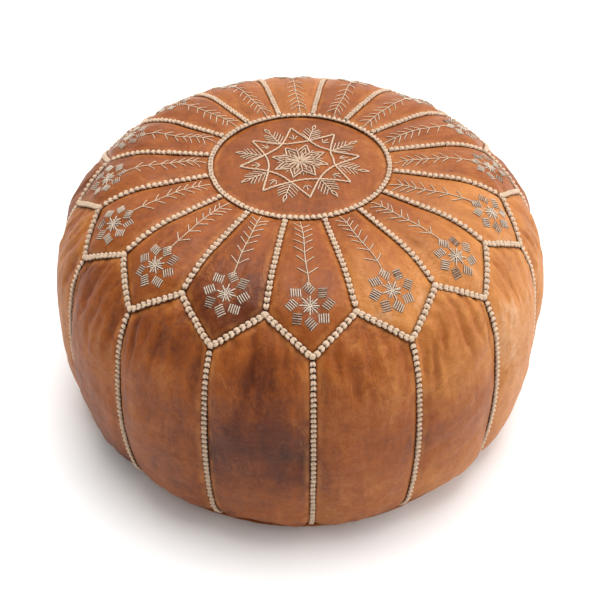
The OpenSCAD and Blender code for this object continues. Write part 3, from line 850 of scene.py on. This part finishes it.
def build_braids():
    radial_w, zigzag_w, side_w, ring_w, height = 6.7, 7.3, 6.5, 6.4, 4.7
    ring, radial, zigzag, upright = Batch(), Batch(), Batch(), Batch()
    add_braid(ring, np.full(400, RING_RUN), np.linspace(0, 2 * np.pi, 400), ring_w, 4.2, 5.9)
    for k in range(SECTORS):
        seam, point = (k + 0.5) * SECTOR, k * SECTOR
        add_braid(radial, np.linspace(CORNER_RUN - 5, RING_RUN + 4, 40), np.full(40, seam), radial_w, height,
                  6.1, 1.07)
        for sign in (-1, 1):
            turn = point + np.linspace(sign * HALF * 0.955, sign * HALF * 0.045, 40)
            add_braid(zigzag, v_run(turn), turn, zigzag_w, height, 6.0, 1.07)
        add_knot(zigzag, CORNER_RUN - 0.5, seam, zigzag_w * 0.9, height)
        add_knot(zigzag, TIP_RUN - 1.5, point, zigzag_w * 0.85, height)
        add_braid(upright, np.linspace(TIP_RUN + 3, FOOT_RUN - 1, 40), np.full(40, point), side_w,
                  height * 0.94, 5.8, 0.92, 0.14, 0.5)
    for batch, name, node in ((ring, "plait_medallion", "medallion_braid"),
                              (radial, "plait_radial", "radial_braids"),
                              (zigzag, "plait_zigzag", "zigzag_braid"),
                              (upright, "plait_upright", "side_braids")):
        finish_piece(batch.piece(name, BRAID), "cover", "braid_cord", node)


build_braids()

# ---- embroidery
def surface_tree(pieces):
    """A tree of the outer faces of pieces, to drop threads on."""
    points, faces, start = [], [], 0
    for piece in pieces:
        count = len(piece.data.vertices)
        xyz = np.empty(count * 3, np.float32)
        piece.data.vertices.foreach_get("co", xyz)
        points.append(xyz.reshape(-1, 3))
        faces += [[v + start for v in face.vertices] for face in piece.data.polygons
                  if max(face.vertices) < count // 2]
        start += count
    return BVHTree.FromPolygons(np.concatenate(points).tolist(), faces)


TREE = surface_tree(petals + [medallion])


def seat(run, turn):
    """How far the leather stands out of the section at each point."""
    far = 20.0
    starts, ways = place(run, turn, far) * MM, -normal(run, turn)
    out = []
    for start, way in zip(starts, ways):
        hit = TREE.ray_cast(Vector(start), Vector(way))
        out.append(far - hit[3] / MM if hit[0] is not None else 0.0)
    return np.array(out)


THREAD_SIDES = 6


def add_thread(batch, run, turn, radius, tone=0.0, dark=1.0, shade_ribbon_tone=-0.02):
    """A stitch along (run, turn) points that goes into the leather at both ends, over a dark ribbon of
    painted shade.
    """
    steps = lengths(place(run, turn))
    count = max(5, int(steps[-1] / 1.3) + 2)
    at = np.linspace(0, steps[-1], count)
    run, turn = np.interp(at, steps, run), np.interp(at, steps, turn)
    base = seat(run, turn)
    up = normal(run, turn)
    points = place(run, turn, base)
    along = np.gradient(points, axis=0)
    along /= np.linalg.norm(along, axis=1)[:, None]
    across = np.cross(along, up)
    dip = np.minimum(np.minimum(at, steps[-1] - at) / (1.4 * radius), 1)
    middle = points + up * (radius * (0.75 * dip - 0.9 * (1 - dip)))[:, None]
    around = np.linspace(0, 2 * np.pi, THREAD_SIDES, endpoint=False)
    tube = (middle[:, None] + across[:, None] * (radius * np.cos(around))[None, :, None]
            + up[:, None] * (radius * np.sin(around))[None, :, None])
    uv = np.stack(np.broadcast_arrays(around[None] / (2 * np.pi), at[:, None] * 0.25), -1).reshape(-1, 2)
    # Painted light on the thread's top and painted shade under it
    lift = np.tile(0.55 + 0.4 * np.sin(around), count)
    batch.add(tube.reshape(-1, 3), tube_faces(count, THREAD_SIDES), uv, lift, tone)
    # A dark ribbon on the leather under the thread: painted shade beside it
    if dark > 0:
        width = np.array([-1.0, 0.0, 1.0]) * radius * (1 + dark)
        rise = np.array([0.0, 0.14, 0.0])
        ribbon = points[:, None] + across[:, None] * width[None, :, None] + up[:, None] * rise[None, :, None]
        batch.add(ribbon.reshape(-1, 3), [tuple(f) for f in grid_faces(count, 3)],
                  np.zeros((count * 3, 2)), np.full(count * 3, 0.05), shade_ribbon_tone)


def crown_xy(corners):
    """x and y of (radius, degrees) corners on the medallion."""
    radius, angle = np.array(corners, float).T
    angle = np.radians(angle)
    return radius * np.sin(angle), -radius * np.cos(angle)


def crown_place(x, y):
    """(run, turn) of a line of points on the medallion."""
    return ARC_RADII[0] * np.arcsin(np.hypot(x, y) / ARC_RADII[0]), np.unwrap(np.arctan2(x, -y))


def crown_line(corners, count=12):
    """(run, turn) along straight lines between (radius, degrees) corners on the medallion."""
    at, known = np.linspace(0, len(corners) - 1, count), range(len(corners))
    return crown_place(*(np.interp(at, known, axis) for axis in crown_xy(corners)))


def smooth_line(knots, count=50):
    """A curve through (radius, degrees) knots on the medallion, straight near its two ends."""
    xy = np.stack(crown_xy(knots), -1)
    padded = np.concatenate([[2 * xy[0] - xy[1]], xy, [2 * xy[-1] - xy[-2]]])
    out = []
    for s in np.linspace(0, len(knots) - 1 - 1e-6, count):
        k, f = int(s), s - int(s)
        a, b, c, d = padded[k:k + 4]
        out.append(0.5 * (2 * b + (c - a) * f + (2 * a - 5 * b + 4 * c - d) * f ** 2
                          + (3 * b - a - 3 * c + d) * f ** 3))
    return crown_place(*np.array(out).T)


STAR_TURN = 6.4


def chain(batch, run, turn, radius, link, tone=0.0):
    """A line of short stitches end to end, as back stitch is."""
    steps = lengths(place(run, turn))
    count = max(1, int(round(steps[-1] / link)))
    for k in range(count):
        at = np.linspace(k - 0.12, k + 1.12, 5) / count * steps[-1]
        at = np.clip(at, 0, steps[-1])
        add_thread(batch, np.interp(at, steps, run), np.interp(at, steps, turn), radius,
                   tone + rng.normal(0, 0.05), dark=0.45)


def build_medallion_threads():
    batch = Batch()

    def stitch(radius, tone, *corners):
        add_thread(batch, *crown_line(corners), radius, tone)

    for k in range(8):
        point, between = STAR_TURN + 45 * k, STAR_TURN + 45 * k + 22.5
        # Star: two squares with hollow sides
        jog = rng.uniform(-1.2, 1.2, 5)[:3]
        hollow = zip(np.array([40.5, 35, 40.5]) + jog, (point + 20, point + 45, point + 70))
        chain(batch, *smooth_line([(65, point), *hollow, (65, point + 90)]), 1.0, 5.5, 0.06)
        # Ferns outside the crossings
        tip = 75 + rng.uniform(-3, 2)
        leaf = tip - 13
        stitch(0.68, 0.0, (41, between), (leaf, between))
        for start, reach in ((42.5, 11.5), (47.5, 11.0), (52.5, 10.0), (57.0, 8.0)):
            for side in (-1, 1):
                spread = math.degrees(reach * 0.64 / (start + reach)) * side
                stitch(0.55, 0.04, (start, between + 0.5 * side), (start + reach, between + spread * 1.5))
        for side in (-1, 1):
            stitch(0.6, 0.1, (leaf, between), (leaf + 6, between + 1.7 * side), (tip, between))
        # A sprig inside each point of the star
        stitch(0.6, 0.04, (43, point), (53, point))
        for side in (-1, 1):
            stitch(0.58, 0.05, (43, point + 1.2 * side), (49, point + 5.5 * side))
        # Rosette: eight pointed petals with a smaller one inside each
        for inner, outer, radius, pinch in ((17.5, 31, 0.74, 22.5), (13.5, 25, 0.58, 15)):
            for side in (-1, 1):
                stitch(radius, 0.12, (inner, between + pinch * side), (outer, between))
        stitch(0.68, 0.1, (1, point), (17.5, point))
        stitch(0.55, 0.08, (2, between), (14, between))
        for offset in (-9, 9):
            stitch(0.45, -0.05, (5, between + offset), (17, between + offset * 0.5))
        for offset in (-4.5, 0, 4.5):
            stitch(0.45, 0.0, (20, point + offset * 1.5), (25.5 - abs(offset) * 0.5, point + offset * 2))
    return finish_piece(batch.piece("medallion_threads", THREAD), "cover", "embroidery_thread",
                        "medallion_embroidery")


def petal_place(index, run, across):
    """(run, turn) of a point across mm to the side of petal index's middle line."""
    run = np.asarray(run, float)
    return run, (index - 1) * SECTOR + np.asarray(across, float) / section(run)[0]


FLOWER_RUN = float(run_at(math.radians(27.6)))
# How far some flowers are sewn from their place, in millimetres down and across the petal
FLOWER_SHIFT = {1: (0.7, -0.6), 2: (-1.0, -2.5), 3: (-1.4, -2.5), 15: (-1.2, 1.2), 16: (-2.4, 1.0)}

# Where a stem's seven pairs of branches grow, as shares of the way from the ring to the flower
STEM_ROOTS = np.array([19, 26, 34, 43, 53, 65, 79]) / 88


def build_petal_threads():
    stems, flowers = Batch(), Batch()
    for index in range(1, SECTORS + 1):
        down_shift, side_shift = FLOWER_SHIFT.get(index, rng.normal(0, 0.9, 2))
        lean = -4.8 + rng.normal(0, 0.6)
        bend, phase = rng.uniform(0.4, 0.9), rng.uniform(0, 6)
        flower_run = FLOWER_RUN + down_shift
        first, last = RING_RUN + 4, flower_run - 23

        def stem_side(run):
            left = np.clip((last - run) / (last - first), 0, 1)
            sway = bend * np.sin(left * 7 + phase) * np.sin(left * np.pi)
            return side_shift + (lean - side_shift) * left + sway

        def sew(batch, run, across, radius, tone, dark, shade_ribbon_tone=-0.02):
            add_thread(batch, *petal_place(index, run, across), radius, tone, dark, shade_ribbon_tone)

        def sew_flower(run, across, radius, tone, dark):
            sew(flowers, flower_run + run, side_shift + across, radius, tone, dark, 0.12)

        knots = np.linspace(first, last, 7)
        for a, b in zip(knots, knots[1:]):
            run = np.linspace(a, b + 1.0, 6)
            sew(stems, run, stem_side(run), 0.55, rng.normal(0, 0.05), 0.7)
        for root in STEM_ROOTS * (last - RING_RUN) + RING_RUN + rng.normal(0, 0.6, 7):
            for side in (-1, 1):
                reach, wide = rng.uniform(6.5, 9.0), rng.uniform(7.6, 10.2)
                across = stem_side(root) + side * np.linspace(0.3, wide, 5)
                sew(stems, np.linspace(root, root - reach, 5), across, 0.52, rng.normal(0.02, 0.05), 0.7)
        for side in (-1, 1):
            across = side_shift + side * 1.3 * np.sin(np.linspace(0.2, np.pi - 0.2, 5))
            sew(stems, np.linspace(last + 0.5, last + 6.5, 5), across, 0.5, 0.0, 0.6)

        # Flower: eight slanted blocks of five stitches round a burst of rays
        spin = rng.normal(0, 2.0)
        for q in range(8):
            angle = math.radians(180 + 45 * q + spin)
            centre = 16.9 * np.array([math.cos(angle), math.sin(angle)]) + rng.normal(0, 0.35, 2)
            lay = angle - math.radians(45 + rng.normal(0, 3))
            way, step = np.array([math.cos(lay), math.sin(lay)]), np.array([-math.sin(lay), math.cos(lay)])
            # Blocks lighter or darker by the way their stitches lie: painted sheen of the silk, with some
            # tone at random
            block_tone_and_sheen = 0.26 * math.cos(2 * lay) + rng.normal(-0.14, 0.09)
            for k in range(5):
                offset = (k - 2) * 2.15
                middle = centre + step * offset + way * offset * 0.06
                half = way * 4.4 * rng.uniform(0.9, 1.06)
                run, across = np.linspace(middle - half, middle + half, 6).T
                sew_flower(run, across, 0.52, block_tone_and_sheen + rng.normal(0, 0.07), 1.1)
        for q in range(16):
            angle = math.radians(22.5 * q + spin + rng.normal(0, 2.5))
            if q % 2 == 0:
                start, end, radius, tone = 0.3, rng.uniform(8.6, 10.4), 0.62, 0.12
            else:
                start, end, radius, tone = rng.uniform(2.5, 4), rng.uniform(5.5, 8.2), 0.5, -0.05
            reach = np.linspace(start, end, 5)
            sew_flower(reach * math.cos(angle), reach * math.sin(angle), radius, tone, 0.8)
    finish_piece(stems.piece("stem_threads", THREAD), "cover", "embroidery_thread", "petal_stem_embroidery")
    finish_piece(flowers.piece("flower_threads", FLOWER_THREAD), "cover", "flower_thread",
                 "petal_flower_embroidery")


build_medallion_threads()
build_petal_threads()

# ---- underside
BASE_GAP, SLOT_W = 0.3, 14.0
SLOT_HALF = 190.0
BASE_R = node_box("base_panel_front")[1][0]
HEM_TOP = node_box("base_panel_front")[1][2]
HEM_W = 11.0
STITCH_Z, RIM_STITCH_R = 0.35, 234.0
WELT_R, WELT_T = node_box("base_welt")[1][0], node_box("base_welt")[1][2]
WELT_INNER = 240.0


def build_base_half(name, node, sign):
    """Half of the base disc, with a folded hem along the zip. sign is the half's side of the zip in y."""
    rows, columns = 34, 161
    u = np.linspace(-1, 1, columns)
    x = BASE_R * np.sin(u * np.pi / 2 * 0.985)
    inside = np.clip((SLOT_HALF - np.abs(x)) / 3, 0, 1)
    start = BASE_GAP + (SLOT_W / 2 - BASE_GAP) * inside
    end = np.sqrt(np.maximum(BASE_R ** 2 - x ** 2, 1)) - 0.05
    down = np.linspace(0, 1, rows)[:, None] ** 1.25
    xs = np.broadcast_to(x, (rows, columns)).ravel()
    ys = (start + np.maximum(end - start, 0.5) * down).ravel()
    ys = np.minimum(ys, np.tile(end, rows))
    near = np.maximum(ys - np.tile(start, rows), 0)
    rim = BASE_R - np.hypot(xs, ys)
    sag = 0.8 + 0.5 * waves(xs, ys, 60, 41) + 0.25 * waves(xs, ys, 21, 42)
    low = np.clip(sag, 0, 1.9) * np.clip(near / 22, 0, 1) * np.clip(rim / 14, 0, 1)
    hem = (HEM_TOP - 2.3) * np.clip((HEM_W + 1 - near) / 1.5, 0, 1) * np.tile(inside, rows)
    high = np.minimum(low + 2.2 + hem, HEM_TOP)
    under = np.stack([xs, sign * ys, low], -1)
    over = np.stack([xs, sign * ys, high], -1)
    faces = shell_faces(rows, columns)
    if sign > 0:
        faces = faces[:, ::-1]
    piece = make_piece(name, np.concatenate([under, over]), faces[:, ::-1], LEATHER_BASE)
    finish_piece(piece, "cover", "leather_base", node)


def base_stitches():
    """Two rows of stitches along the slot and one round the rim, on the underside."""
    batch = Batch()
    around = np.linspace(0, 2 * np.pi, 6, endpoint=False)

    def stitch(a, b):
        a, b = np.array([*a, STITCH_Z]), np.array([*b, STITCH_Z])
        way = (b - a) / np.linalg.norm(b - a)
        side, up = np.array([-way[1], way[0], 0]), np.array([0, 0, 1.0])
        t = np.linspace(0, 1, 6)
        middle = a + (b - a) * t[:, None] + up * (0.5 * (2 * t - 1) ** 4)[:, None]
        ring = np.cos(around)[None, :, None] * side + np.sin(around)[None, :, None] * up
        points = (middle[:, None] + 0.42 * ring).reshape(-1, 3)
        points[:, 2] = np.maximum(points[:, 2], 0.02)
        uv = np.stack(np.broadcast_arrays(around[None] / (2 * np.pi), t[:, None]), -1).reshape(-1, 2)
        batch.add(points, tube_faces(6, 6)[:-2], uv, np.full(len(points), 0.7), rng.normal(-0.15, 0.05))

    for sign in (-1, 1):
        for offset in (2.5, 9.0):
            for x in np.arange(-SLOT_HALF + 2, SLOT_HALF - 5, 4.6):
                y = sign * (SLOT_W / 2 + offset)
                stitch((x, y), (x + 3.5, y))
    for angle in np.arange(0, 2 * math.pi, 5.2 / RIM_STITCH_R):
        stitch(*((RIM_STITCH_R * math.cos(a), RIM_STITCH_R * math.sin(a))
                 for a in (angle, angle + 3.9 / RIM_STITCH_R)))
    finish_piece(batch.piece("base_stitches", THREAD), "cover", "embroidery_thread")


def build_welt():
    """The folded lip that the pouf stands on, with a turned outer edge."""
    count = 720
    turn = np.linspace(0, 2 * np.pi, count, endpoint=False)
    bead = WELT_T / 2
    middle = WELT_R - bead - 0.15
    profile = [(WELT_INNER, 0.0), (246.0, 0.0), (252.0, 0.0)]
    profile += [(middle + bead * math.cos(a), bead + bead * math.sin(a))
                for a in np.linspace(-math.pi / 2, math.pi / 2, 9)]
    profile += [(middle - 3.2, WELT_T * 0.82), (248.0, WELT_T * 0.8), (WELT_INNER, WELT_T * 0.9)]
    r, z = np.array(profile).T
    wobble = 0.45 * np.sin(7 * turn + 1) + 0.3 * np.sin(23 * turn) + 0.22 * np.sin(61 * turn + 2)
    pull = np.clip((r - 250) / 6, 0, 1)
    radius = r[None] + np.minimum(wobble, 0)[:, None] * pull[None]
    lift = 1 - 0.06 * (1 + np.sin(97 * turn))[:, None]
    height = z[None] * lift
    points = turned(radius, turn[:, None], height)
    width = len(profile)
    index = np.arange(count * width).reshape(count, width)
    ahead_row, ahead = np.roll(index, -1, 0), np.roll(index, -1, 1)
    faces = np.stack([index, ahead_row, np.roll(ahead_row, -1, 1), ahead], -1).reshape(-1, 4)
    piece = make_piece("welt_leather", points.reshape(-1, 3), faces, LEATHER_WELT)
    finish_piece(piece, "cover", "leather_welt", "base_welt")


def build_inside():
    """The cotton bag, sewn from gores, and the lumpy wadding in it."""
    bag_low, wad_low = node_box("inner_liner")[0], node_box("stuffing")[0]

    def closed(out, bottom, dent):
        """A closed skin, out mm outside the section, flat at the bottom."""
        rows, columns = 90, 256
        turn = np.linspace(0, 2 * np.pi, columns, endpoint=False)
        last = run_at(math.acos((bottom - ARC_CENTRES[3, 1]) / (ARC_RADII[3] + out)))
        run = np.linspace(0, last, rows)[1:]
        grid_run, grid_turn = np.meshgrid(run, turn, indexing="ij")
        points = place(grid_run, grid_turn, out - dent(grid_run, grid_turn))
        points[..., 2] = np.maximum(points[..., 2], bottom)
        points = points.reshape(-1, 3)
        ring = len(run) * columns
        index = np.arange(ring).reshape(len(run), columns)
        ahead = np.roll(index, -1, 1)
        quads = np.stack([index[:-1], index[1:], ahead[1:], ahead[:-1]], -1).reshape(-1, 4)
        top, under = place(0.0, 0.0, out), np.array([0, 0, bottom])
        caps = [(ring, int(a), int(b)) for a, b in zip(index[0], ahead[0])]
        caps += [(ring + 1, int(b), int(a)) for a, b in zip(index[-1], ahead[-1])]
        return np.concatenate([points, [top, under]]), [tuple(q) for q in quads] + caps

    def bag_dent(run, turn):
        gore = np.abs((turn * 8 / np.pi) % 2 - 1)
        ripple = 0.25 * (1 + np.sin(turn * 60 + run * 0.03))
        return 0.4 + 1.4 * np.exp(-((1 - gore) / 0.05) ** 2) + ripple

    def wad_dent(run, turn):
        x, y = run * np.sin(turn), run * np.cos(turn)
        return 3.2 + 1.1 * waves(x, y, 45, 51) + 0.7 * waves(x, y, 18, 52)

    points, faces = closed(-3.4, bag_low[2], bag_dent)
    inner, inner_faces = closed(-4.4, bag_low[2] + 1, bag_dent)
    faces += [tuple(i + len(points) for i in f[::-1]) for f in inner_faces]
    finish_piece(make_piece("liner_bag", np.concatenate([points, inner]), faces, COTTON),
                 "cover", "liner_cotton", "inner_liner")
    points, faces = closed(-4.6, wad_low[2], wad_dent)
    wadding = finish_piece(make_piece("wadding_fill", points, faces, WADDING),
                           "cover", "wadding", "stuffing")


def dress_zip():
    """Better materials for the zip's own solids."""
    for name in ("tape_front", "tape_back", "teeth_front", "teeth_back", "top_stops", "bottom_stop", "slider",
                 "pull"):
        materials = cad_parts["zip_" + name].data.materials
        materials.clear()
        materials.append(TAPE if name.startswith("tape") else BRASS)


build_base_half("base_leather_front", "base_panel_front", -1)
build_base_half("base_leather_back", "base_panel_back", 1)
base_stitches()
build_welt()
build_inside()
dress_zip()

# ---- floor, light and camera
LOOK_AT = Vector((0, 0, 0.0969))
CAMERA_AZIMUTH, CAMERA_ELEVATION, CAMERA_DISTANCE = -2.7, 43.1, 1.104
LENS = 54.1


def direction(azimuth, elevation):
    """Towards an azimuth from the front (-Y) towards +X and an elevation, both in degrees."""
    a, e = math.radians(azimuth), math.radians(elevation)
    return Vector((math.sin(a) * math.cos(e), -math.cos(a) * math.cos(e), math.sin(e)))


def add_camera():
    back = direction(CAMERA_AZIMUTH, CAMERA_ELEVATION)
    data = bpy.data.cameras.new("camera")
    data.lens, data.sensor_width = LENS, 36
    camera = bpy.data.objects.new("camera", data)
    camera.location = LOOK_AT + back * CAMERA_DISTANCE
    camera.rotation_euler = (-back).to_track_quat("-Z", "Y").to_euler()
    bpy.context.scene.collection.objects.link(camera)
    bpy.context.scene.camera = camera


def add_sun(name, azimuth, elevation, power, spread):
    """Soft light from a direction."""
    towards = direction(azimuth, elevation)
    data = bpy.data.lights.new(name, "SUN")
    data.energy, data.angle = power, math.radians(spread)
    light = bpy.data.objects.new(name, data)
    light.location = towards * 3
    light.rotation_euler = towards.to_track_quat("Z", "Y").to_euler()
    bpy.context.scene.collection.objects.link(light)


def add_world():
    """A pale room that is brighter behind the pouf and to its right than in front."""
    world = bpy.data.worlds.new("studio")
    world.use_nodes = True
    tree = world.node_tree
    back = tree.nodes["Background"]
    way = tree.nodes.new("ShaderNodeTexCoord").outputs["Generated"]
    dot = tree.nodes.new("ShaderNodeVectorMath")
    dot.operation = "DOT_PRODUCT"
    dot.inputs[1].default_value = (0.5, 0.68, 0.52)
    tree.links.new(way, dot.inputs[0])
    ramp = tree.nodes.new("ShaderNodeMapRange")
    for socket, value in (("From Min", -0.6), ("From Max", 0.9), ("To Min", 0.19), ("To Max", 1.15)):
        ramp.inputs[socket].default_value = value
    tree.links.new(dot.outputs["Value"], ramp.inputs["Value"])
    tree.links.new(ramp.outputs["Result"], back.inputs["Strength"])
    back.inputs["Color"].default_value = (1, 0.99, 0.97, 1)
    bpy.context.scene.world = world


def add_studio():
    s = Shader("floor_white")
    s.set(Base_Color=(0.95, 0.95, 0.95, 1), Roughness=0.9, Specular_IOR_Level=0.1)
    size = 30.0
    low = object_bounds()[0].z
    floor_mesh = bpy.data.meshes.new("floor")
    corners = [(-size, -size, low), (size, -size, low), (size, size, low), (-size, size, low)]
    floor_mesh.from_pydata(corners, [], [(0, 1, 2, 3)])
    floor_mesh.materials.append(s.material)
    floor = bpy.data.objects.new("floor", floor_mesh)
    bpy.context.scene.collection.objects.link(floor)
    add_world()
    add_sun("key", 155, 77, 2.3, 36)
    add_sun("side", 88, 26, 0.9, 50)
    bpy.context.scene.view_settings.view_transform = "Standard"


add_camera()
add_studio()
